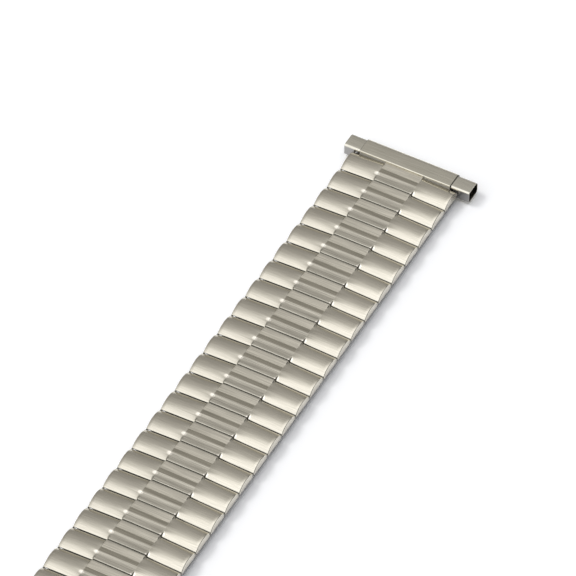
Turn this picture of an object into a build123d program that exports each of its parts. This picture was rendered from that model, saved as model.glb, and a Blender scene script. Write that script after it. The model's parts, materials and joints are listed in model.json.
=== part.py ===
from build123d import *
import math
import os

# An expansion watch band lying flat: an upper row of decorated links over a
# staggered lower row, tied together at both edges by flat wire bows, with a
# bar housing and two sliding tubes at each end for the watch's spring bars.
# X runs along the band, Y across it and Z up from the skin side, in mm.

# The band
link_pitch = 4.25
upper_count = 27
band_width = 18.0
seam_gap = 0.1

# Decorated top shell, pressed from sheet
shell_sheet = 0.2
dome_rise = 0.83
flap_depth = 0.6
flap_lift = 0.1
flat_length = 6.44
flat_drop = 0.08
flat_bevel = 0.15

# Folded sleeves of the two rows
sleeve_sheet = 0.15
sleeve_inset = 0.2
roof_half = 0.9
nest_gap = 0.04
lower_height = 1.0
lower_gap = 0.4
lower_corner = 0.2
row_gap = 0.25

# Flat wire bows that tie the rows together
bow_width = 0.5
bow_thickness = 0.25
leg_depth = 4.0
leg_play = 0.06
leg_end_play = 0.03
seat_gap = 0.02
side_play = 0.1
stretch_travel = 1.6

# Leaf springs that press on the bows' legs
leaf_thickness = 0.1
leaf_length = 13.0
leaf_flat_share = 0.25
upper_leaf_width = 2.0
lower_leaf_width = 2.6
swing_play = 0.07

# End bar housings and their sliding tubes
trim_length = 3.875
trim_gap = 0.03
housing_length = 15.5
housing_sheet = 0.15
housing_rise = 0.12
tube_height = 2.2
tube_depth = 2.9
tube_length = 8.65
tube_far_corner = 0.8
tube_fit = 0.05
tube_mouth_wall = 0.12
tube_mouth_depth = 0.8
spring_bar_bore_radius = 0.95
long_reach = 3.15
short_reach = 2.75
tongue_width = 12.0
tongue_thickness = 0.25
tongue_overlap = 1.1
cut_overrun = 1.0

# Heights above the skin side, worked out from the sizes above
upper_floor = lower_height + row_gap
flap_bottom = upper_floor + flap_lift
seam_height = flap_bottom + flap_depth
crown_height = seam_height + dome_rise
flat_height = crown_height - flat_drop
leg_bottom = upper_floor + sleeve_sheet + leg_play
leg_top = leg_bottom + bow_thickness
lower_leg_top = lower_height - sleeve_sheet - seat_gap
lower_leg_bottom = lower_leg_top - bow_thickness

# Half sizes along the band
shell_half = (link_pitch - seam_gap) / 2
sleeve_half = shell_half - sleeve_inset
lower_half = (link_pitch - lower_gap) / 2
hinge_leg = link_pitch / 4
slide_leg_end = sleeve_half - sleeve_sheet - leg_end_play - bow_width / 2
slide_leg_start = slide_leg_end - stretch_travel
trim_half = trim_length - shell_half

# The end bar stands against the last link's cut edge, its top above the crown
housing_wall = tube_fit + housing_sheet
bar_height = crown_height + housing_rise - housing_wall - tube_height / 2
tube_place = Pos(trim_half + trim_gap + housing_wall, 0, bar_height)

# Half sizes across the band
shell_side = band_width / 2
web_outer = shell_side - shell_sheet - side_play
web_inner = web_outer - bow_thickness
sleeve_side = web_inner - side_play
leg_inner = web_inner - leg_depth

# The dome's inside is one arc, and the sleeve under it nests below that arc
dome_radius = (shell_half**2 + dome_rise**2) / (2 * dome_rise)
inner_radius = dome_radius - shell_sheet
dome_centre = crown_height - dome_radius


def under_dome(across):
    """Height of the dome's inside at a distance from the link's centre."""
    return dome_centre + math.sqrt(inner_radius**2 - across**2)


shoulder_height = under_dome(sleeve_half) - nest_gap
roof_height = under_dome(roof_half) - nest_gap
roof_slope = (roof_height - shoulder_height) / (sleeve_half - roof_half)
roof_inside = roof_height - sleeve_sheet


def prism(face, side):
    """Extrude an outline drawn along X and Z to both sides of the middle."""
    return extrude(Plane.XZ * face, side, both=True)


def block(corner, opposite):
    """A box between two opposite corners."""
    centre = [(a + b) / 2 for a, b in zip(corner, opposite)]
    return Pos(*centre) * Box(*[abs(b - a) for a, b in zip(corner, opposite)])


def polygon(*points):
    return make_face(Polyline(*points, close=True))


def dome_face(radius, half, foot):
    """Everything under an arc about the dome's centre, down to a flat foot."""
    edge = dome_centre + math.sqrt(radius**2 - half**2)
    arc = ThreePointArc((-half, edge), (0, dome_centre + radius), (half, edge))
    foot_line = Polyline((half, edge), (half, foot), (-half, foot), (-half, edge))
    return make_face(arc.edges() + foot_line.edges())


def top_shell():
    """Domed sheet with raised flats in the middle and a folded flap at each end."""
    dome = prism(dome_face(dome_radius, shell_half, flap_bottom), shell_side)
    flats = prism(
        polygon(
            (-shell_half, seam_height),
            (-shell_half, flat_height - flat_bevel),
            (-shell_half + flat_bevel, flat_height),
            (shell_half - flat_bevel, flat_height),
            (shell_half, flat_height - flat_bevel),
            (shell_half, seam_height),
        ),
        flat_length / 2,
    )
    hollow_side = shell_side - shell_sheet
    hollow = prism(dome_face(inner_radius, shell_half, flap_bottom), hollow_side)
    below = block(
        (-link_pitch, -hollow_side, flap_bottom - cut_overrun),
        (link_pitch, hollow_side, under_dome(shell_half)),
    )
    return dome + flats - hollow - below


def upper_sleeve():
    """Folded sleeve with sloping shoulders that nests under the dome."""
    outline = polygon(
        (-sleeve_half, upper_floor),
        (sleeve_half, upper_floor),
        (sleeve_half, shoulder_height),
        (roof_half, roof_height),
        (-roof_half, roof_height),
        (-sleeve_half, shoulder_height),
    )
    bore = offset(outline, amount=-sleeve_sheet, kind=Kind.INTERSECTION)
    return prism(outline - bore, sleeve_side)


def lower_sleeve():
    """Flat folded sleeve with its two skin side corners eased."""
    outline = polygon(
        (-lower_half + lower_corner, 0),
        (lower_half - lower_corner, 0),
        (lower_half, lower_corner),
        (lower_half, lower_height),
        (-lower_half, lower_height),
        (-lower_half, lower_corner),
    )
    bore = offset(outline, amount=-sleeve_sheet, kind=Kind.INTERSECTION)
    return prism(outline - bore, sleeve_side)


def leaf(width, end_height, middle_height):
    """Strip bent to a bow: its middle bears on one wall, its ends on the legs."""
    half = leaf_length / 2
    flat = half * leaf_flat_share
    under = [
        (-half, end_height),
        (-flat, middle_height),
        (flat, middle_height),
        (half, end_height),
    ]
    over = [(along, height + leaf_thickness) for along, height in reversed(under)]
    return extrude(Plane.YZ * polygon(*under, *over), width / 2, both=True)


def upper_leaf():
    edge = upper_leaf_width / 2
    fold = sleeve_sheet * math.hypot(1, roof_slope)
    roof_over_edge = min(roof_inside, shoulder_height + (sleeve_half - edge) * roof_slope - fold)
    middle = roof_over_edge - seat_gap - leaf_thickness
    return leaf(upper_leaf_width, leg_top + swing_play, middle)


def lower_leaf():
    ends = lower_leg_bottom - seat_gap - leaf_thickness
    return leaf(lower_leaf_width, ends, sleeve_sheet + seat_gap)


def bow(lower_leg, upper_leg, side):
    """Flat wire bent into a U: a leg in each row and a web across the edge."""
    half = bow_width / 2
    web = prism(
        polygon(
            (lower_leg - half, lower_leg_bottom),
            (lower_leg + half, lower_leg_bottom),
            (lower_leg + half, lower_leg_top),
            (upper_leg + half, leg_top),
            (upper_leg - half, leg_top),
            (upper_leg - half, leg_bottom),
        ),
        bow_thickness / 2,
    )
    wire = Pos(0, side * (web_inner + web_outer) / 2, 0) * web
    for place, low, high in (
        (lower_leg, lower_leg_bottom, lower_leg_top),
        (upper_leg, leg_bottom, leg_top),
    ):
        wire += block(
            (place - half, side * leg_inner, low),
            (place + half, side * web_inner, high),
        )
    return wire


def upper_link():
    return [top_shell(), upper_sleeve(), upper_leaf()]


def lower_link():
    """Lower sleeve with its spring and its two pairs of bows."""
    to_previous = slide_leg_start - link_pitch / 2
    to_next = link_pitch / 2 - hinge_leg
    pieces = [lower_sleeve(), lower_leaf()]
    for side in (1, -1):
        pieces.append(bow(-hinge_leg, to_previous, side))
        pieces.append(bow(hinge_leg, to_next, side))
    return pieces


def trimmed(solid, edge):
    """What is left of a link's piece on the band's side of the end bar."""
    beyond = block(
        (edge, -band_width, -cut_overrun),
        (edge + link_pitch, band_width, crown_height + cut_overrun),
    )
    return solid - beyond


def end_link():
    """Last link, cut short at the bar, with its sleeve open for the tongue."""
    shell = trimmed(top_shell(), trim_half)
    sleeve = trimmed(upper_sleeve(), trim_half - sleeve_sheet)
    return [shell, sleeve, upper_leaf()]


def bar_outline(growth):
    """The tube's outline, square towards the band and round towards the watch."""
    depth = tube_depth + 2 * growth
    face = Pos(tube_depth / 2, 0) * Rectangle(depth, tube_height + 2 * growth)
    return fillet(face.vertices().group_by(Axis.X)[-1], tube_far_corner + growth)


def end_housing():
    """Sheet housing for the two tubes, with a tongue that holds the last link."""
    bar = bar_outline(housing_wall) - bar_outline(tube_fit)
    housing = tube_place * prism(bar, housing_length / 2)
    tongue = block(
        (trim_half - tongue_overlap, -tongue_width / 2, leg_bottom),
        (trim_half + trim_gap + housing_sheet, tongue_width / 2, leg_bottom + tongue_thickness),
    )
    return housing + tongue


def end_tube(side, reach):
    """Sliding tube with a round bore for a spring bar behind its thin mouth."""
    bore = Pos(tube_depth / 2, 0) * Circle(spring_bar_bore_radius)
    body = prism(bar_outline(0) - bore, tube_length / 2)
    mouth = prism(bar_outline(-tube_mouth_wall), tube_mouth_depth)
    tube = body - Pos(0, side * tube_length / 2, 0) * mouth
    outer = side * (housing_length / 2 + reach)
    return tube_place * Pos(0, outer - side * tube_length / 2, 0) * tube


def mirrored(pieces):
    return [mirror(piece, about=Plane.YZ) for piece in pieces]


def export(name, pieces, along):
    placed = [Pos(along, 0, 0) * piece for piece in pieces]
    export_step(Compound(children=placed), f"parts/{name}.step")


os.makedirs("parts", exist_ok=True)
last_centre = (upper_count - 1) / 2 * link_pitch

regular_upper = upper_link()
for number in range(1, upper_count - 1):
    export(f"upper_link_{number:02d}", regular_upper, number * link_pitch - last_centre)

regular_lower = lower_link()
for number in range(1, upper_count):
    export(f"lower_link_{number:02d}", regular_lower, (number - 1 / 2) * link_pitch - last_centre)

last_link = end_link()
housing = [end_housing()]
for end, flip, along, left_reach, right_reach in (
    ("far", list, last_centre, short_reach, long_reach),
    ("near", mirrored, -last_centre, long_reach, short_reach),
):
    export(f"end_link_{end}", flip(last_link), along)
    export(f"end_housing_{end}", flip(housing), along)
    export(f"end_tube_{end}_left", flip([end_tube(1, left_reach)]), along)
    export(f"end_tube_{end}_right", flip([end_tube(-1, right_reach)]), along)
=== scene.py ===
import json
import math

import bmesh
import bpy
from mathutils import Matrix, Vector

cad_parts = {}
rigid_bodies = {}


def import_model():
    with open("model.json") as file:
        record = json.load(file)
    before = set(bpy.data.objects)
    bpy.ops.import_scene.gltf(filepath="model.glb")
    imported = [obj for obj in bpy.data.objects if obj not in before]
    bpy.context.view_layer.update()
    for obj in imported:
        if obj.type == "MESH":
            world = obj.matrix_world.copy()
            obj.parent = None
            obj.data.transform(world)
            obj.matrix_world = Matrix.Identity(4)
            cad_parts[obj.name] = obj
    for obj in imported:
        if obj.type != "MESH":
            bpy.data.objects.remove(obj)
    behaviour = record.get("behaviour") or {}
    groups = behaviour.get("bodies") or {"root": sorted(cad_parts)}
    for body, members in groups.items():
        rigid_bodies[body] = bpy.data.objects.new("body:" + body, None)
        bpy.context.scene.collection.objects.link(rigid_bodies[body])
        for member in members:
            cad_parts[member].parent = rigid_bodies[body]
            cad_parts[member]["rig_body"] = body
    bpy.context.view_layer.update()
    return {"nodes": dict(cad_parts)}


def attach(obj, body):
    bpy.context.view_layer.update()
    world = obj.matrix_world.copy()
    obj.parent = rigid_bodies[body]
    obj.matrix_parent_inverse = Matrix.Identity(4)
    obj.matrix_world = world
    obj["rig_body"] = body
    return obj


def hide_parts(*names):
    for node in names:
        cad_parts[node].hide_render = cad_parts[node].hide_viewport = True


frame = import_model()
scene = bpy.context.scene
scene.view_settings.view_transform = "Standard"

# Camera: the band is seen over its right edge from above its near end, through a
# long lens that keeps its sides almost parallel. Sizes in this file are written in
# millimetres and turned into metres where a mesh or a place is made.
mm = 0.001
camera_place = Vector((-499.9, -285.2, 661.3)) * mm
camera_aim = Vector((27.85, 4.10, 1.95)) * mm
long_lens = bpy.data.cameras.new("photo_camera")
long_lens.sensor_width = 36
long_lens.lens = 375
long_lens.clip_start = 0.1
long_lens.clip_end = 20
camera = bpy.data.objects.new("photo_camera", long_lens)
camera.location = camera_place
camera.rotation_euler = (camera_aim - camera_place).to_track_quat("-Z", "Y").to_euler()
scene.collection.objects.link(camera)
scene.camera = camera

# Top shell: a cap pressed from 0.2 mm stainless sheet and brushed across the band,
# arched over its link, with two flats in its middle third and a strip of the arch
# left between them. Its ends are folded down as half-moon flaps over its sleeve.
pitch = 4.25
shell_half = 2.075
shell_side = 9.0
shell_sheet = 0.2
seam_height = 1.95
dome_rise = 0.83
crown_height = seam_height + dome_rise
dome_radius = (shell_half**2 + dome_rise**2) / (2 * dome_rise)
dome_centre = crown_height - dome_radius
crowning = 0.16
fold_radius = 0.15
fold_steps = 3
flap_bottom = 1.35
flap_lean = 0.05
edge_round = 0.05
flat_side = 3.22
end_slope = 0.1
pressed_profile = (
    (-2.075, 2.25), (-2.045, 2.36), (-2.0, 2.43), (-1.93, 2.47), (-1.82, 2.49),
    (-1.3, 2.5), (-1.15, 2.505), (-0.9, 2.54), (-0.5, 2.66), (-0.42, 2.675),
    (0.0, 2.66), (0.32, 2.635), (0.42, 2.63), (1.1, 2.66), (1.55, 2.665),
    (1.75, 2.65), (1.87, 2.61), (1.97, 2.54), (2.035, 2.45), (2.075, 2.34),
)
columns_between = (-1.55, -0.66, -0.21, 0.17, 0.65, 0.88)
rows_on_flats = (0.0, 1.5, 2.9)
rows_on_domes = (3.45, 3.65, 3.95, 4.3, 4.7, 5.12, 6.0, 6.9, 7.8, 8.4)
same_point = 0.0001
hollow_reach = 0.9
lift_share = 0.3
lift_reach = 1.3


def named_group(name, kind, inputs, outputs):
    """A node group with named sockets, and the nodes at its two ends."""
    group = bpy.data.node_groups.new(name, kind)
    for label, socket_type, value in inputs:
        socket = group.interface.new_socket(label, in_out="INPUT", socket_type=socket_type)
        if value is not None:
            socket.default_value = value
    for label, socket_type in outputs:
        group.interface.new_socket(label, in_out="OUTPUT", socket_type=socket_type)
    return group, group.nodes.new("NodeGroupInput"), group.nodes.new("NodeGroupOutput")


def fill(tree, node, inputs):
    """Each named input is linked to a socket or set to a value."""
    for label, value in inputs.items():
        if isinstance(value, bpy.types.NodeSocket):
            tree.links.new(value, node.inputs[label])
        else:
            node.inputs[label].default_value = value


def add(tree, kind, inputs=None, **settings):
    """A new node with its settings and inputs."""
    node = tree.nodes.new(kind)
    for label, value in settings.items():
        setattr(node, label, value)
    fill(tree, node, inputs or {})
    return node


def math_of(tree, operation, *values):
    return add(tree, "ShaderNodeMath", dict(enumerate(values)), operation=operation).outputs[0]


def highest(tree, masks):
    """The strongest of the masks at each place."""
    top = masks[0]
    for mask in masks[1:]:
        top = math_of(tree, "MAXIMUM", top, mask)
    return top


def fade(tree, value, low, high, start=0.0, stop=1.0, run="SMOOTHSTEP"):
    """Start at or below low, stop at or above high, and a soft step between them."""
    return add(
        tree,
        "ShaderNodeMapRange",
        {"Value": value, "From Min": low, "From Max": high, "To Min": start, "To Max": stop},
        interpolation_type=run,
    ).outputs[0]


def within(tree, distance, full, none, strength=1.0):
    """The strength up to full millimetres, fading to nothing at none."""
    return fade(tree, distance, full * mm, none * mm, strength, 0.0)


def tinted(tree, mask, clean, stained):
    """The clean colour, turned to the stained one where the mask says so."""
    return add(
        tree, "ShaderNodeMix", {0: mask, 6: clean, 7: stained}, data_type="RGBA"
    ).outputs[2]


scratch_noise = {"Scale": 1.0, "Detail": 3.0, "Roughness": 0.62}
scratch_range = (0.32, 0.68)
patch_noise = {"Detail": 2.0, "Roughness": 0.5}
patch_range = (0.3, 0.7)
rubbed_brighter = 1.06


def brushed_grain():
    """Scratches along Y under a thin film, and edges that handling has rubbed bright."""
    group, entry, leave = named_group(
        "brushed_grain",
        "ShaderNodeTree",
        (
            ("Position", "NodeSocketVector", None),
            ("Scratch width", "NodeSocketFloat", 0.05),
            ("Scratch length", "NodeSocketFloat", 3.0),
            ("Patch size", "NodeSocketFloat", 3.0),
            ("Clean", "NodeSocketColor", (0.7, 0.66, 0.56, 1)),
            ("Film", "NodeSocketColor", (0.64, 0.6, 0.51, 1)),
            ("Rubbed", "NodeSocketColor", (0.74, 0.7, 0.6, 1)),
        ),
        (
            ("Colour", "NodeSocketColor"),
            ("Scratches", "NodeSocketFloat"),
            ("Patches", "NodeSocketFloat"),
            ("Height", "NodeSocketFloat"),
        ),
    )
    said = entry.outputs
    wide = math_of(group, "DIVIDE", 1 / mm, said["Scratch width"])
    long = math_of(group, "DIVIDE", 1 / mm, said["Scratch length"])
    scale = add(group, "ShaderNodeCombineXYZ", {"X": wide, "Y": long, "Z": wide})
    stretched = add(
        group,
        "ShaderNodeVectorMath",
        {0: said["Position"], 1: scale.outputs[0]},
        operation="MULTIPLY",
    )
    fine = add(
        group, "ShaderNodeTexNoise", {"Vector": stretched.outputs[0], **scratch_noise}
    ).outputs["Fac"]
    patch = math_of(group, "DIVIDE", 1 / mm, said["Patch size"])
    broad = add(
        group,
        "ShaderNodeTexNoise",
        {"Vector": said["Position"], "Scale": patch, **patch_noise},
    ).outputs["Fac"]
    scratches = fade(group, fine, *scratch_range, run="LINEAR")
    filmed = tinted(group, scratches, said["Film"], said["Clean"])
    worn = add(group, "ShaderNodeAttribute", attribute_name="edge_wear").outputs["Fac"]
    fill(
        group,
        leave,
        {
            "Colour": tinted(group, worn, filmed, said["Rubbed"]),
            "Scratches": scratches,
            "Patches": fade(group, broad, *patch_range, run="LINEAR"),
            "Height": fine,
        },
    )
    return group


grain_group = brushed_grain()


def steel(name, clean, film, roughness, spread, depth, width, length, pull=0.3):
    """Brushed steel, with its scratches' depth, width and length in millimetres."""
    material = bpy.data.materials.new(name)
    material.use_nodes = True
    tree = material.node_tree
    place = add(tree, "ShaderNodeTexCoord").outputs["Object"]
    grain = add(
        tree,
        "ShaderNodeGroup",
        {
            "Position": place,
            "Scratch width": width,
            "Scratch length": length,
            "Clean": (*clean, 1),
            "Film": (*film, 1),
            "Rubbed": (*(min(1.0, c * rubbed_brighter) for c in clean), 1),
        },
        node_tree=grain_group,
    ).outputs
    least, most = roughness - spread, roughness + spread
    rough = fade(tree, grain["Patches"], 0.0, 1.0, least, most, run="LINEAR")
    bump = add(tree, "ShaderNodeBump", {"Distance": depth * mm, "Height": grain["Height"]})
    fill(
        tree,
        tree.nodes["Principled BSDF"],
        {
            "Base Color": grain["Colour"],
            "Metallic": 1.0,
            "Roughness": rough,
            "Anisotropic": pull,
            "Normal": bump.outputs[0],
        },
    )
    return material, {
        "place": place,
        "colour": grain["Colour"],
        "scratches": grain["Scratches"],
        "rough": rough,
    }


# Painted highlights: bright spots at the flats' ends. Each spot is given by its middle and
# its half sizes, across the link and along it.
painted_highlight_spots = (
    (-0.8, 3.32, 0.36, 0.52),
    (-1.86, -3.02, 0.2, 0.22),
    (-1.7, -3.42, 0.3, 0.16),
    (1.75, -3.12, 0.2, 0.2),
)
spot_core = 0.2
flats_border = (-0.12, 0.02)
near_rib_edge = (-0.52, -0.44)
far_rib_edge = (0.28, 0.4)
fold_shown = 0.1
flap_starts = shell_side - fold_shown
flap_border = 0.1

# Painted shade, darker at the foot of the flats' end walls, along each shell's far edge, at
# its seams and on the flats' edges. Each is whole up to its first distance and gone at its
# second. The third value is its strength. By the flats' end walls it also stays clear of the
# crown. It is lighter on the right and gone by the bars.
wall_shade = (0.03, 0.1)
wall_shade_clear = (1.1, 1.6)
far_edge_shade = (0.1, 0.45, 0.9)
far_edge_shade_on_flats = (0.12, 0.5, 0.7)
seam_shade = (0.03, 0.08)
edge_shade_on_flats = (0.0, 0.3, 0.35)
shade_stops_before_bar = (55.8, 56.2)
lighter_shade_on_right = (-5.0, -3.6)
right_shade_share = 0.6


def pressed_marks():
    """Where a shell is matt, has painted highlights or has painted shade, by its place in its own
    link.
    """
    group, entry, leave = named_group(
        "pressed_marks",
        "ShaderNodeTree",
        (
            ("Position", "NodeSocketVector", None),
            ("Pitch", "NodeSocketFloat", pitch * mm),
            ("Shell half", "NodeSocketFloat", shell_half * mm),
            ("Flat side", "NodeSocketFloat", flat_side * mm),
            ("Flap starts", "NodeSocketFloat", flap_starts * mm),
        ),
        [
            (label, "NodeSocketFloat")
            for label in ("Flats", "Far flat", "Strip", "Painted highlights", "Flap", "Painted shade")
        ],
    )
    said = entry.outputs
    place = add(group, "ShaderNodeSeparateXYZ", {0: said["Position"]}).outputs
    half = math_of(group, "MULTIPLY", said["Pitch"], 0.5)
    less = math_of(group, "MULTIPLY", half, -1.0)
    across = math_of(group, "WRAP", place["X"], half, less)
    from_crown = math_of(group, "ABSOLUTE", across)
    side = math_of(group, "ABSOLUTE", place["Y"])
    past_flats = math_of(group, "SUBTRACT", side, said["Flat side"])
    to_far_edge = math_of(group, "SUBTRACT", said["Shell half"], across)
    to_edge = math_of(group, "SUBTRACT", said["Shell half"], from_crown)

    flats = within(group, past_flats, *flats_border)
    near_rib, far_rib = (
        fade(group, across, low * mm, high * mm) for low, high in (near_rib_edge, far_rib_edge)
    )
    strip = math_of(group, "SUBTRACT", near_rib, far_rib)
    flap_whole = math_of(group, "ADD", said["Flap starts"], flap_border * mm)

    # Painted highlights: the bright spots, which also clear the painted shade.
    spots = []
    for x, y, half_x, half_y in painted_highlight_spots:
        off_x, off_y = (
            math_of(group, "DIVIDE", math_of(group, "SUBTRACT", at, middle * mm), reach * mm)
            for at, middle, reach in ((across, x, half_x), (place["Y"], y, half_y))
        )
        off = math_of(group, "MULTIPLY_ADD", off_x, off_x, math_of(group, "MULTIPLY", off_y, off_y))
        spots.append(fade(group, off, spot_core, 1.0, 1.0, 0.0))
    painted_highlight = highest(group, spots)

    # Painted shade, made of the films below; the strongest film wins.
    from_wall = math_of(group, "ABSOLUTE", past_flats)
    clear_low, clear_high = wall_shade_clear
    painted_shade_parts = [
        math_of(
            group,
            "MULTIPLY",
            within(group, from_wall, *wall_shade),
            fade(group, from_crown, clear_low * mm, clear_high * mm),
        ),
        within(group, to_far_edge, *far_edge_shade),
        math_of(group, "MULTIPLY", flats, within(group, to_far_edge, *far_edge_shade_on_flats)),
        within(group, to_edge, *seam_shade),
        math_of(group, "MULTIPLY", flats, within(group, to_edge, *edge_shade_on_flats)),
    ]
    # The painted shade is lighter on the right, gone by the bars and cleared at the painted
    # highlights.
    right_low, right_high = lighter_shade_on_right
    painted_shade_mask = highest(group, painted_shade_parts)
    for share in (
        within(group, math_of(group, "ABSOLUTE", place["X"]), *shade_stops_before_bar),
        fade(group, place["Y"], right_low * mm, right_high * mm, right_shade_share, 1.0),
        math_of(group, "SUBTRACT", 1.0, painted_highlight),
    ):
        painted_shade_mask = math_of(group, "MULTIPLY", painted_shade_mask, share)
    fill(
        group,
        leave,
        {
            "Flats": flats,
            "Far flat": math_of(group, "MULTIPLY", flats, far_rib),
            "Strip": math_of(group, "MULTIPLY", flats, strip),
            "Painted highlights": painted_highlight,
            "Flap": fade(group, side, said["Flap starts"], flap_whole),
            "Painted shade": painted_shade_mask,
        },
    )
    return group


top_steel, top_look = steel(
    "top_steel",
    clean=(0.70, 0.658, 0.562),
    film=(0.64, 0.60, 0.508),
    roughness=0.22,
    spread=0.03,
    depth=0.003,
    width=0.11,
    length=6.0,
)
# Painted light and shade on the marks: the strip darker, the far flat lighter, the spots bright as
# painted highlights, and the flaps darker and cooler, a painted reflection of the table.
painted_light_tints = (
    ("Strip", (0.78, 0.77, 0.74, 1)),
    ("Far flat", (1.28, 1.28, 1.28, 1)),
    ("Painted highlights", (1.5, 1.5, 1.56, 1)),
    ("Flap", (0.95, 0.96, 1.0, 1)),
)
lines_on_domes = (0.95, 1.03)
lines_on_flats = (0.72, 1.06)
far_flat_rougher = 0.2
# Painted shade: its colour, and the shine of the matt parts it makes.
painted_shade_colour = (0.13, 0.125, 0.1, 1)
painted_shade_shine = 0.1

tree = top_steel.node_tree
marks = add(
    tree, "ShaderNodeGroup", {"Position": top_look["place"]}, node_tree=pressed_marks()
).outputs
# The marks' painted light and shade, multiplied into the steel's colour.
finish = (1, 1, 1, 1)
for mark, tint in painted_light_tints:
    finish = tinted(tree, marks[mark], finish, tint)
dome_lines, flat_lines = (
    fade(tree, top_look["scratches"], 0.0, 1.0, *shades, run="LINEAR")
    for shades in (lines_on_domes, lines_on_flats)
)
shown = top_look["colour"]
for layer in (finish, tinted(tree, marks["Flats"], dome_lines, flat_lines)):
    shown = add(
        tree,
        "ShaderNodeMix",
        {0: 1.0, 6: shown, 7: layer},
        data_type="RGBA",
        blend_type="MULTIPLY",
    ).outputs[2]
# Painted shade: where its mask is, the steel turns dark and matt.
fill(
    tree,
    tree.nodes["Principled BSDF"],
    {
        "Base Color": tinted(tree, marks["Painted shade"], shown, painted_shade_colour),
        "Metallic": math_of(tree, "SUBTRACT", 1.0, marks["Painted shade"]),
        "Roughness": math_of(
            tree, "MULTIPLY_ADD", marks["Far flat"], far_flat_rougher, top_look["rough"]
        ),
        "Specular IOR Level": painted_shade_shine,
    },
)


def arch(across, radius):
    return dome_centre + math.sqrt(radius**2 - across**2)


def flats_height(across):
    """The pressed middle: a flat, a low rib and the other flat, rounded at the edges."""
    for (x0, z0), (x1, z1) in zip(pressed_profile, pressed_profile[1:]):
        if x0 <= across <= x1:
            return z0 + (z1 - z0) * (across - x0) / (x1 - x0)
    return pressed_profile[-1][1]


def crowned(across, side, radius):
    """The arch, a little lower towards the shell's two ends."""
    out = max(0.0, side - flat_side) / (shell_side - flat_side)
    return arch(across, radius) - crowning * out**2


def pressed_height(across, side):
    """Height of the shell's outside: the flats, or the arch that they drew up or down."""
    out = max(0.0, side - flat_side)
    flat = flats_height(across)
    step = flat - arch(across, dome_radius)
    if step < 0:
        drawn = step * math.exp(-out / hollow_reach)
    else:
        drawn = lift_share * step * math.exp(-out / lift_reach)
    height = crowned(across, side, dome_radius) + drawn
    share = min(1.0, max(0.0, (flat_side + end_slope - side) / (2 * end_slope)))
    share = share * share * (3 - 2 * share)
    return height + (flat - height) * share


def shell_rows(columns):
    """Points across the shell, row by row from its middle out and down over the fold."""
    slope = [flat_side + end_slope * k for k in (-1, -0.5, 0, 0.5, 1)]
    rows = []
    for side in (*rows_on_flats, *slope, *rows_on_domes):
        rows.append([(x, side, pressed_height(x, side)) for x in columns])
    for step in range(fold_steps + 1):
        turn = math.pi / 2 * step / fold_steps
        radius = dome_radius - fold_radius * (1 - math.cos(turn))
        row = []
        for x in columns:
            flap_top = arch(x, dome_radius - fold_radius) - crowning
            side = shell_side - flap_lean * (flap_top - flap_bottom)
            side -= fold_radius * (1 - math.sin(turn))
            row.append((x, side, crowned(x, side, radius)))
        rows.append(row)
    return rows


def shell_skin(name, limit=shell_half):
    """The shell's outside as one open skin. A smaller limit trims its far side."""
    columns = [x for x, z in pressed_profile] + list(columns_between)
    columns = sorted(x for x in columns if x < limit) + [limit]
    mesh = bmesh.new()
    for flip in (1, -1):
        grid = []
        for row in shell_rows(columns):
            feet = [(p[0], p[1], crowned(*p[:2], dome_radius)) for p in (row[0], row[-1])]
            if row[0][2] < feet[0][2]:
                feet = [row[0], row[-1]]
            points = [feet[0], *row, feet[1]]
            grid.append([mesh.verts.new((x * mm, flip * y * mm, z * mm)) for x, y, z in points])
        for first, second in zip(grid, grid[1:]):
            for k in range(len(first) - 1):
                mesh.faces.new((first[k], first[k + 1], second[k + 1], second[k]))
        flap_corners = [
            mesh.verts.new((x * mm, flip * shell_side * mm, flap_bottom * mm))
            for x in (columns[-1], columns[0])
        ]
        mesh.faces.new(grid[-1][1:-1] + flap_corners)
    bmesh.ops.remove_doubles(mesh, verts=mesh.verts, dist=same_point * mm)
    bmesh.ops.recalc_face_normals(mesh, faces=mesh.faces)
    top = max(mesh.faces, key=lambda face: face.calc_center_median().z)
    if top.normal.z < 0:
        bmesh.ops.reverse_faces(mesh, faces=mesh.faces)
    data = bpy.data.meshes.new(name)
    mesh.to_mesh(data)
    mesh.free()
    return data


def evaluated_mesh(thing):
    """The thing's mesh with its modifiers done, as plain data."""
    graph = bpy.context.evaluated_depsgraph_get()
    return bpy.data.meshes.new_from_object(
        thing.evaluated_get(graph), preserve_all_data_layers=True, depsgraph=graph
    )


round_steps = 3
cut_edge_angle = math.radians(28)


def finished_sheet(data, thickness, rounding):
    """Sheet of one thickness inside its skin, its cut edges rounded."""
    thing = bpy.data.objects.new(data.name, data)
    scene.collection.objects.link(thing)
    for face in data.polygons:
        face.use_smooth = True
    if thickness:
        wall = thing.modifiers.new("sheet", "SOLIDIFY")
        wall.thickness = thickness * mm
        wall.offset = -1
        wall.use_even_offset = True
    soft = thing.modifiers.new("rounded", "BEVEL")
    soft.width = rounding * mm
    soft.segments = round_steps
    soft.limit_method = "ANGLE"
    soft.angle_limit = cut_edge_angle
    soft.harden_normals = True
    made = evaluated_mesh(thing)
    bpy.data.objects.remove(thing)
    return made


worn_edge_angle = math.radians(20)


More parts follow.
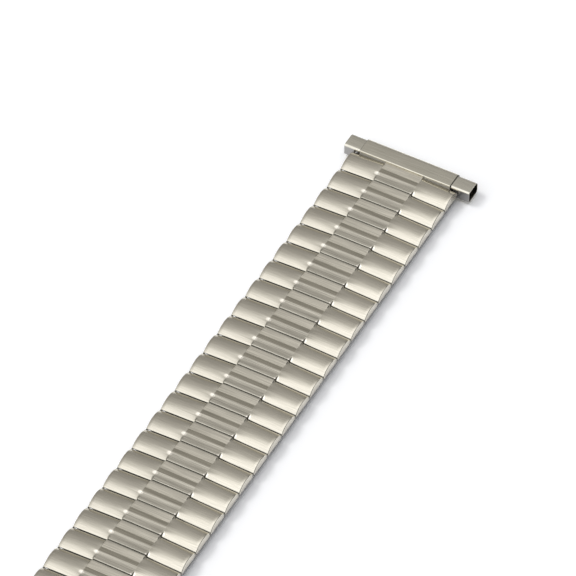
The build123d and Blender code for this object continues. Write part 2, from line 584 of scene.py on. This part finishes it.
def row_tree():
    """Geometry nodes that set one link at its place in the row."""
    tree, entry, leave = named_group(
        "link_in_its_row",
        "GeometryNodeTree",
        (
            ("Link", "NodeSocketGeometry", None),
            ("Station", "NodeSocketInt", 0),
            ("Pitch", "NodeSocketFloat", pitch * mm),
            ("Start", "NodeSocketFloat", 0.0),
            ("Settling", "NodeSocketFloat", 0.0),
            ("Seed", "NodeSocketInt", 7),
            ("Finish", "NodeSocketMaterial", None),
            ("Wire finish", "NodeSocketMaterial", None),
        ),
        (("Link", "NodeSocketGeometry"),),
    )
    said = entry.outputs
    angle = add(tree, "GeometryNodeInputMeshEdgeAngle").outputs["Unsigned Angle"]
    sharp = add(
        tree,
        "FunctionNodeCompare",
        {0: angle, 1: worn_edge_angle},
        data_type="FLOAT",
        operation="GREATER_THAN",
    )
    soft = add(
        tree,
        "GeometryNodeBlurAttribute",
        {0: sharp.outputs[0], "Iterations": 1},
        data_type="FLOAT",
    )
    worn = add(
        tree,
        "GeometryNodeStoreNamedAttribute",
        {"Geometry": said["Link"], "Name": "edge_wear", "Value": soft.outputs[0]},
        data_type="FLOAT",
        domain="POINT",
    )
    run = math_of(tree, "MULTIPLY_ADD", said["Station"], said["Pitch"], said["Start"])
    place = add(tree, "ShaderNodeCombineXYZ", {"X": run})
    point = add(tree, "GeometryNodePoints", {"Count": 1, "Position": place.outputs[0]})
    back = math_of(tree, "MULTIPLY", said["Settling"], -1.0)
    low = add(tree, "ShaderNodeCombineXYZ", {"Y": back})
    high = add(tree, "ShaderNodeCombineXYZ", {"Y": said["Settling"]})
    tilt = add(
        tree,
        "FunctionNodeRandomValue",
        {0: low.outputs[0], 1: high.outputs[0], "ID": said["Station"], "Seed": said["Seed"]},
        data_type="FLOAT_VECTOR",
    )
    put = add(
        tree,
        "GeometryNodeInstanceOnPoints",
        {"Points": point.outputs[0], "Instance": worn.outputs[0], "Rotation": tilt.outputs[0]},
    )
    real = add(tree, "GeometryNodeRealizeInstances", {"Geometry": put.outputs[0]})
    dressed = add(
        tree,
        "GeometryNodeSetMaterial",
        {"Geometry": real.outputs[0], "Material": said["Finish"]},
    )
    wire = add(tree, "GeometryNodeInputNamedAttribute", {"Name": "wire"}, data_type="FLOAT")
    wired = add(
        tree,
        "GeometryNodeSetMaterial",
        {
            "Geometry": dressed.outputs[0],
            "Selection": wire.outputs[0],
            "Material": said["Wire finish"],
        },
    )
    fill(tree, leave, {"Link": wired.outputs[0]})
    return tree


link_row = row_tree()
row_inputs = {
    item.name: item.identifier
    for item in link_row.interface.items_tree
    if item.in_out == "INPUT"
}


def set_in_row(name, data, finish, station, start=0.0, settling=0.0, wire_finish=None):
    """One finished piece, made by the row's nodes and left as a plain mesh."""
    thing = bpy.data.objects.new(name, data)
    row = thing.modifiers.new("row", "NODES")
    row.node_group = link_row
    for label, value in (
        ("Station", station),
        ("Start", start * mm),
        ("Settling", math.radians(settling)),
        ("Finish", finish),
        ("Wire finish", wire_finish or finish),
    ):
        row[row_inputs[label]] = value
    scene.collection.objects.link(thing)
    made = evaluated_mesh(thing)
    thing.modifiers.clear()
    thing.data = made
    made.name = name
    return thing


def stand_for(thing, node):
    """The piece rides where its CAD node does, and shows in its place."""
    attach(thing, frame["nodes"][node]["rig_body"])
    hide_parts(node)


def turned(data):
    """The same piece for the near end, turned half round."""
    other = data.copy()
    other.transform(Matrix.Rotation(math.pi, 4, "Z"))
    return other


middle_link = 13
far_link = 26
trim_half = 1.8
settling_angle = 0.3
upper_nodes = [f"upper_link_{number:02d}" for number in range(far_link + 1)]
upper_nodes[0], upper_nodes[far_link] = "end_link_near", "end_link_far"
whole_shell = finished_sheet(shell_skin("whole_shell"), shell_sheet, edge_round)
far_shell = finished_sheet(shell_skin("far_shell", trim_half), shell_sheet, edge_round)
shells = {0: turned(far_shell), far_link: far_shell}
for number, node in enumerate(upper_nodes):
    shell = set_in_row(
        f"top_shell_{number:02d}",
        shells.get(number, whole_shell),
        top_steel,
        number - middle_link,
        settling=settling_angle,
    )
    stand_for(shell, node)

# Sleeves: each shell wraps a tube folded from 0.15 mm sheet, open at its ends. A
# bowed leaf of spring steel lies in it and presses the bows' legs down. The tube is
# plain rolled steel, never brushed, because nobody sees it.
sleeve_half = 1.875
sleeve_sheet = 0.15
sleeve_side = 8.35
sleeve_lip = 0.25
upper_floor = 1.25
shoulder_height = 1.823
roof_half = 0.9
roof_height = 2.3
low_bend = 0.2
roof_bend = 0.3
leaf_sheet = 0.1
leaf_half = 6.5
leaf_flat = 1.625
leaf_steps = 6
upper_leaf = {"half_width": 1.0, "end_height": 1.83, "middle_height": 2.06}
inner_round = 0.03


def round_corners(points, radii, steps=3):
    """A closed outline with its corners rounded, each by its own radius."""
    outline = []
    count = len(points)
    for k, radius in enumerate(radii):
        corner = Vector(points[k])
        before = (Vector(points[k - 1]) - corner).normalized()
        after = (Vector(points[(k + 1) % count]) - corner).normalized()
        half = before.angle(after) / 2
        reach = radius / math.tan(half)
        middle = corner + (before + after).normalized() * radius / math.sin(half)
        first = corner + before * reach - middle
        swing = math.pi - 2 * half
        turn = -swing if before.x * after.y - before.y * after.x > 0 else swing
        for step in range(steps + 1):
            outline.append(middle + Matrix.Rotation(turn * step / steps, 2) @ first)
    return outline


def inset(points, distance):
    """The outline moved inwards along its own normals."""
    moved = []
    for k, point in enumerate(points):
        along = (points[(k + 1) % len(points)] - points[k - 1]).normalized()
        moved.append(point + Vector((-along.y, along.x)) * distance)
    return moved


def add_ring(mesh, outline, side):
    return [mesh.verts.new((p.x * mm, side * mm, p.y * mm)) for p in outline]


def join_rings(mesh, rings, close=False):
    """Skin the rings one after another, then close the skin on itself or cap it."""
    faces = []
    pairs = list(zip(rings, rings[1:]))
    if close:
        pairs.append((rings[-1], rings[0]))
    for first, second in pairs:
        for k in range(len(first)):
            n = (k + 1) % len(first)
            faces.append(mesh.faces.new((first[k], first[n], second[n], second[k])))
    if not close:
        faces += [mesh.faces.new(rings[0]), mesh.faces.new(rings[-1])]
    return faces


def add_tube(mesh, outline, wall, side):
    """An open tube along Y with a wall inside its outline."""
    near = side - sleeve_lip
    places = (-side, -near, near, side)
    rings = [add_ring(mesh, outline, y) for y in places]
    rings += [add_ring(mesh, inset(outline, wall), y) for y in reversed(places)]
    join_rings(mesh, rings, close=True)


def add_leaf(mesh, wire, half_width, end_height, middle_height):
    """A leaf spring: low at its ends, curving up or down to a flat middle."""
    half_sheet = leaf_sheet / 2
    bow = leaf_half - leaf_flat
    run = [-leaf_half + bow * k / leaf_steps for k in range(leaf_steps + 1)]
    rings = []
    for y in run + [-y for y in reversed(run)]:
        share = min(1.0, (leaf_half - abs(y)) / bow)
        height = end_height + (middle_height - end_height) * math.sin(share * math.pi / 2)
        ring = []
        for x, z in ((-1, -1), (1, -1), (1, 1), (-1, 1)):
            point = (x * half_width, y, height + z * half_sheet)
            ring.append(mesh.verts.new([value * mm for value in point]))
        rings.append(ring)
    for face in join_rings(mesh, rings):
        face[wire] = 1.0


def closed_mesh(name, build, *sizes):
    """A mesh of closed pieces, whose faces are turned outwards."""
    mesh = bmesh.new()
    wire = mesh.faces.layers.float.new("wire")
    build(mesh, wire, *sizes)
    bmesh.ops.recalc_face_normals(mesh, faces=mesh.faces)
    data = bpy.data.meshes.new(name)
    mesh.to_mesh(data)
    mesh.free()
    return data


def build_upper_sleeve(mesh, wire):
    corners = [
        (-sleeve_half, upper_floor),
        (sleeve_half, upper_floor),
        (sleeve_half, shoulder_height),
        (roof_half, roof_height),
        (-roof_half, roof_height),
        (-sleeve_half, shoulder_height),
    ]
    bends = (low_bend, low_bend, low_bend, roof_bend, roof_bend, low_bend)
    add_tube(mesh, round_corners(corners, bends), sleeve_sheet, sleeve_side)
    add_leaf(mesh, wire, **upper_leaf)


# Painted shade: both steels are darker than the shells, the spring steel nearly black, so the
# band's underside and the bows and sleeve ends under the flaps read as in shade.
rolled_steel_painted_darker, _ = steel(
    "rolled_steel_painted_darker",
    clean=(0.45, 0.44, 0.42),
    film=(0.36, 0.35, 0.33),
    roughness=0.34,
    spread=0.05,
    depth=0.002,
    width=0.12,
    length=1.2,
    pull=0.0,
)
spring_steel_painted_dark, _ = steel(
    "spring_steel_painted_dark",
    clean=(0.2, 0.19, 0.18),
    film=(0.13, 0.125, 0.12),
    roughness=0.3,
    spread=0.04,
    depth=0.002,
    width=0.04,
    length=2.0,
    pull=0.0,
)
upper_sleeve = finished_sheet(closed_mesh("upper_sleeve", build_upper_sleeve), 0, inner_round)
for number, node in enumerate(upper_nodes):
    sleeve = set_in_row(
        f"upper_sleeve_{number:02d}",
        upper_sleeve,
        rolled_steel_painted_darker,
        number - middle_link,
        wire_finish=spring_steel_painted_dark,
    )
    stand_for(sleeve, node)

# Lower links: the skin side is a second row of folded sleeves, half a pitch along,
# their backs tumbled smooth. Four bows of flat wire hook each one to the two upper
# links over it; their webs close the band's edges.
lower_half = 1.925
lower_height = 1.0
back_bend = 0.28
inner_bend = 0.2
bend_steps = 5
lower_leaf = {"half_width": 1.3, "end_height": 0.51, "middle_height": 0.22}
bow_half = 0.25
wire_half = 0.125
leg_inner = 4.45
leg_tip = 0.3
leg_before_bend = 0.6
web_middle = 8.575
web_bend = 0.2
lower_leg_height = 0.705
upper_leg_height = 1.585
hinge_leg = 1.0625
back_leg = 2.28


def bow_path():
    """The bow's line from leg to leg: across and up, and the way that its flat faces."""
    leg = (leg_inner, leg_inner + leg_tip, web_middle - web_bend - leg_before_bend)
    inner = web_middle - web_bend
    path = [(y, lower_leg_height, 0, -1) for y in leg]
    for height, start in (
        (lower_leg_height + web_bend, -math.pi / 2),
        (upper_leg_height - web_bend, 0.0),
    ):
        for step in range(bend_steps + 1):
            turn = start + math.pi / 2 * step / bend_steps
            out, up = math.cos(turn), math.sin(turn)
            path.append((inner + web_bend * out, height + web_bend * up, out, up))
    return path + [(y, upper_leg_height, 0, 1) for y in reversed(leg)]


def add_bow(mesh, wire, lower_x, upper_x, flip):
    """One bow: a leg in each row and a web over the edge, bent at two corners."""
    rings = []
    for y, z, out, up in bow_path():
        share = (z - lower_leg_height) / (upper_leg_height - lower_leg_height)
        x = lower_x + (upper_x - lower_x) * share
        ring = []
        for flat, face in ((-1, -1), (1, -1), (1, 1), (-1, 1)):
            thick = face * wire_half
            point = (x + flat * bow_half, flip * (y + thick * out), z + thick * up)
            ring.append(mesh.verts.new([value * mm for value in point]))
        rings.append(ring)
    for face in join_rings(mesh, rings):
        face[wire] = 1.0


def build_lower_link(mesh, wire):
    corners = [
        (-lower_half, 0),
        (lower_half, 0),
        (lower_half, lower_height),
        (-lower_half, lower_height),
    ]
    outline = round_corners(corners, (back_bend, back_bend, inner_bend, inner_bend), bend_steps)
    add_tube(mesh, outline, sleeve_sheet, sleeve_side)
    add_leaf(mesh, wire, **lower_leaf)
    for flip in (1, -1):
        add_bow(mesh, wire, -hinge_leg, -back_leg, flip)
        add_bow(mesh, wire, hinge_leg, hinge_leg, flip)


lower_link = finished_sheet(closed_mesh("lower_link", build_lower_link), 0, inner_round)
for number in range(1, far_link + 1):
    link = set_in_row(
        f"lower_row_{number:02d}",
        lower_link,
        rolled_steel_painted_darker,
        number - middle_link,
        start=-pitch / 2,
        wire_finish=spring_steel_painted_dark,
    )
    stand_for(link, f"lower_link_{number:02d}")

# End bars: a sheet housing folded square on the band's side and round on the
# watch's side. Its tongue goes into the last sleeve, which is crimped on it. The
# bar is brushed along its length like the links.
bar_near = 57.08
bar_depth = 3.3
bar_low = 0.3
bar_high = 2.9
bar_middle = bar_near + bar_depth / 2
bar_height = (bar_low + bar_high) / 2
housing_side = 7.75
housing_sheet = 0.15
housing_round = 0.04
near_corner = 0.16
far_corner = 1.0
corner_steps = 6
tongue_low = 1.46
tongue_sheet = 0.25
tongue_side = 6.0
tongue_start = 55.95
# Painted light: the bar's front wall in the slot by the last link is matt grey, so the slot shows
# the tone of the link's slope instead of a dark reflection.
painted_slot_depth = (0.03, 0.1)
painted_slot_height = (2.62, 2.72)
painted_slot_dulls = 0.8
painted_slot_rougher = 0.35
painted_slot_colour = (0.46, 0.44, 0.385, 1)
# Painted shade: the housing's cut ends are nearly black.
shaded_cut_end_depth = (0.07, 0.02)
shaded_cut_end_colour = (0.07, 0.065, 0.055, 1)


def bar_outline(gap, near_radius, far_radius):
    """The bar's section, or a smaller one with a gap all round."""
    low, high = bar_low + gap, bar_high - gap
    near, far = bar_near + gap, bar_near + bar_depth - gap
    corners = [(near, low), (far, low), (far, high), (near, high)]
    radii = (near_radius, far_radius, far_radius, near_radius)
    return round_corners(corners, radii, corner_steps)


def build_housing(mesh, wire):
    add_tube(mesh, bar_outline(0, near_corner, far_corner), housing_sheet, housing_side)
    low, high = tongue_low, tongue_low + tongue_sheet
    root = bar_near + housing_sheet / 2
    corners = [(tongue_start, low), (root, low), (root, high), (tongue_start, high)]
    tongue = [Vector(corner) for corner in corners]
    join_rings(mesh, [add_ring(mesh, tongue, y) for y in (-tongue_side, tongue_side)])


bar_steel, bar_look = steel(
    "bar_steel",
    clean=(0.72, 0.682, 0.58),
    film=(0.6, 0.568, 0.475),
    roughness=0.24,
    spread=0.04,
    depth=0.004,
    width=0.11,
    length=6.0,
)
tree = bar_steel.node_tree
place = add(tree, "ShaderNodeSeparateXYZ", {0: bar_look["place"]}).outputs
out = math_of(tree, "ABSOLUTE", place["X"])
side = math_of(tree, "ABSOLUTE", place["Y"])
# Painted light in the slot: matt grey on the bar's front wall.
painted_slot_grey = math_of(
    tree,
    "MULTIPLY",
    within(tree, out, *(bar_near + depth for depth in painted_slot_depth)),
    within(tree, place["Z"], *painted_slot_height),
)
cut_low, cut_high = ((housing_side - depth) * mm for depth in shaded_cut_end_depth)
shown = tinted(tree, painted_slot_grey, bar_look["colour"], painted_slot_colour)
# Painted shade on the housing's cut ends.
shown = tinted(tree, fade(tree, side, cut_low, cut_high), shown, shaded_cut_end_colour)
fill(
    tree,
    tree.nodes["Principled BSDF"],
    {
        "Base Color": shown,
        "Metallic": math_of(tree, "MULTIPLY_ADD", painted_slot_grey, -painted_slot_dulls, 1.0),
        "Roughness": math_of(
            tree, "MULTIPLY_ADD", painted_slot_grey, painted_slot_rougher, bar_look["rough"]
        ),
    },
)

housing = finished_sheet(closed_mesh("housing", build_housing), 0, housing_round)
for end, data in (("far", housing), ("near", turned(housing))):
    bar = set_in_row(f"end_bar_{end}", data, bar_steel, 0)
    stand_for(bar, f"end_housing_{end}")

# End tubes: thin drawn tubes that slide in the bars to suit the watch's lugs. Each
# one has an open mouth, and behind it a round seat for the spring bar. They are
# pushed in and out by hand, which has polished them.
tube_play = 0.05
tube_gap = housing_sheet + tube_play
tube_wall = 0.12
tube_length = 8.65
tube_round = 0.05
tube_near_corner = 0.35
tube_far_corner = 0.8
tube_lip = 0.3
mouth_depth = 0.8
bore_radius = 0.95
mouth_border = 0.03
# Painted shade: the mouth's inside is nearly black, and the near face is darker below its bright
# top edge.
mouth_shade_colour = (0.13, 0.12, 0.11, 1)
near_face_depth = (0.04, 0.1)
near_face_height = (2.3, 2.45)
near_face_shade_colour = (0.36, 0.35, 0.34, 1)
tubes_drawn_out = (
    ("far", "left", 2.75),
    ("far", "right", 3.15),
    ("near", "left", 3.15),
    ("near", "right", 2.75),
)


def build_tube(mesh, wire, outer_end, flip):
    """A tube whose mouth is at outer_end, on the side that flip points to."""
    outline = bar_outline(tube_gap, tube_near_corner, tube_far_corner)
    inner = inset(outline, tube_wall)
    axis = Vector((bar_middle, bar_height))
    bore = [axis + (point - axis).normalized() * bore_radius for point in outline]
    back_end = outer_end - tube_length
    seat = outer_end - mouth_depth
    rings = []
    for shape, y in (
        (outline, back_end),
        (outline, back_end + tube_lip),
        (outline, outer_end - tube_lip),
        (outline, outer_end),
        (inner, outer_end),
        (inner, seat),
        (bore, seat),
        (bore, back_end),
    ):
        rings.append(add_ring(mesh, shape, flip * y))
    join_rings(mesh, rings, close=True)


tube_steel, tube_look = steel(
    "tube_steel",
    clean=(0.74, 0.705, 0.61),
    film=(0.64, 0.61, 0.52),
    roughness=0.18,
    spread=0.04,
    depth=0.002,
    width=0.11,
    length=4.0,
)
tree = tube_steel.node_tree
place = add(tree, "ShaderNodeSeparateXYZ", {0: tube_look["place"]}).outputs
out = math_of(tree, "ABSOLUTE", place["X"])
# Painted shade in the mouth and on the near face.
in_mouth = []
for at, middle, half in (
    (out, bar_middle, bar_depth / 2),
    (place["Z"], bar_height, (bar_high - bar_low) / 2),
):
    off = math_of(tree, "ABSOLUTE", math_of(tree, "SUBTRACT", at, middle * mm))
    inner_half = half - tube_gap - tube_wall
    in_mouth.append(within(tree, off, inner_half - mouth_border, inner_half + mouth_border))
shaded_near_face = math_of(
    tree,
    "MULTIPLY",
    within(tree, out, *(bar_near + tube_gap + depth for depth in near_face_depth)),
    within(tree, place["Z"], *near_face_height),
)
shown = tinted(tree, shaded_near_face, tube_look["colour"], near_face_shade_colour)
shown = tinted(tree, math_of(tree, "MULTIPLY", *in_mouth), shown, mouth_shade_colour)
fill(tree, tree.nodes["Principled BSDF"], {"Base Color": shown})

for end, side, drawn in tubes_drawn_out:
    flip = 1 if (end == "far") == (side == "left") else -1
    data = closed_mesh("tube", build_tube, housing_side + drawn, flip)
    data = finished_sheet(data, 0, tube_round)
    if end == "near":
        data = turned(data)
    tube = set_in_row(f"slide_tube_{end}_{side}", data, tube_steel, 0)
    stand_for(tube, f"end_tube_{end}_{side}")

# Studio: a white table in a soft room, bright behind the camera and dark beyond the
# band's far left, which shades the domes. A softbox hangs high on the left. It is
# hidden from reflections, and throws the band's shadow to the right.
table_reach = 4.0
table_gap = 0.02
contact = 0.3
white_to_eye = (1.1, 1.1, 1.1, 1)
white_to_light = (0.8, 0.8, 0.8, 1)
corners = [
    (x * table_reach, y * table_reach, -table_gap * mm)
    for x, y in ((-1, -1), (1, -1), (1, 1), (-1, 1))
]
table_mesh = bpy.data.meshes.new("table")
table_mesh.from_pydata(corners, [], [(0, 1, 2, 3)])
table = bpy.data.objects.new("table", table_mesh)
scene.collection.objects.link(table)


def white_table():
    """Matt white, and clear to what touches it and to an eye under it."""
    material = bpy.data.materials.new("white_table")
    material.use_nodes = True
    tree = material.node_tree
    tree.nodes.clear()
    ray = add(tree, "ShaderNodeLightPath").outputs
    seen = highest(
        tree, [ray["Is Camera Ray"], ray["Is Glossy Ray"], ray["Is Transmission Ray"]]
    )
    paper = add(
        tree,
        "ShaderNodeBsdfDiffuse",
        {"Color": tinted(tree, seen, white_to_light, white_to_eye)},
    )
    back = add(tree, "ShaderNodeNewGeometry").outputs["Backfacing"]
    from_below = math_of(tree, "MULTIPLY", back, ray["Is Camera Ray"])
    touching = math_of(tree, "LESS_THAN", ray["Ray Length"], contact * mm)
    touching = math_of(tree, "MULTIPLY", touching, ray["Is Glossy Ray"])
    clear = add(tree, "ShaderNodeBsdfTransparent")
    both = add(
        tree,
        "ShaderNodeMixShader",
        {
            0: highest(tree, [from_below, touching]),
            1: paper.outputs[0],
            2: clear.outputs[0],
        },
    )
    add(tree, "ShaderNodeOutputMaterial", {"Surface": both.outputs[0]})
    return material


table_mesh.materials.append(white_table())

# The room's shades by how far its direction leans to the far left, and its dimming.
left_share = 1.6
lean_range = (-0.4, 1.6)
room_shades = (
    (-0.4, 1.5), (-0.03, 1.5), (0.18, 1.42), (0.39, 1.17), (0.53, 0.91), (0.66, 0.74),
    (0.76, 0.66), (0.84, 0.61), (0.97, 0.55), (1.11, 0.50), (1.32, 0.42), (1.6, 0.34),
)
brightest = 1.5
low_walls = (0.25, 0.65)
near_wall_share = 0.12
far_wall_share = 0.4
wall_turns = (-0.2, 0.2)
open_left = (0.0, 0.25)
dim_right = (-0.6, -0.1)
right_share = 0.22
under_horizon = (-0.1, 0.0)
under_level = 0.8
bright_tint = (0.985, 1.0, 1.035, 1)
dark_tint = (1.0, 0.985, 0.955, 1)

room = bpy.data.worlds.new("room")
scene.world = room
room.use_nodes = True
tree = room.node_tree
tree.nodes.clear()
way = add(tree, "ShaderNodeTexCoord").outputs["Generated"]
towards = add(tree, "ShaderNodeSeparateXYZ", {0: way}).outputs
lean = math_of(tree, "MULTIPLY_ADD", towards["Y"], left_share, towards["X"])
lean = fade(tree, lean, *lean_range, run="LINEAR")
shades = add(tree, "ShaderNodeValToRGB", {"Fac": lean})
stops = shades.color_ramp.elements
while len(stops) < len(room_shades):
    stops.new(0.5)
for stop, (place, shade) in zip(stops, room_shades):
    stop.position = (place - lean_range[0]) / (lean_range[1] - lean_range[0])
    stop.color = (*[shade / brightest] * 3, 1)
grey = add(tree, "ShaderNodeSeparateColor", {"Color": shades.outputs["Color"]}).outputs["Red"]
wall_levels = (near_wall_share * brightest, far_wall_share * brightest)
wall = fade(tree, towards["X"], *wall_turns, *wall_levels)
low = fade(tree, towards["Z"], *low_walls, wall, brightest)
left = fade(tree, towards["Y"], *open_left, 0.0, brightest)
level = math_of(tree, "MULTIPLY", grey, highest(tree, [low, left]))
right = fade(tree, towards["Y"], *dim_right, right_share, 1.0)
level = math_of(tree, "MULTIPLY", level, right)
under = fade(tree, towards["Z"], *under_horizon, under_level, 0.0)
tint = tinted(tree, lean, bright_tint, dark_tint)
light = add(
    tree, "ShaderNodeBackground", {"Color": tint, "Strength": highest(tree, [level, under])}
)
add(tree, "ShaderNodeOutputWorld", {"Surface": light.outputs[0]})

softbox_light = bpy.data.lights.new("softbox", "AREA")
softbox_light.shape = "SQUARE"
softbox_light.size = 0.45
softbox_light.energy = 5.4
softbox = bpy.data.objects.new("softbox", softbox_light)
softbox.location = (-0.15, 0.8, 1.3)
softbox.visible_glossy = False
softbox.rotation_euler = (-softbox.location).to_track_quat("-Z", "Y").to_euler()
scene.collection.objects.link(softbox)
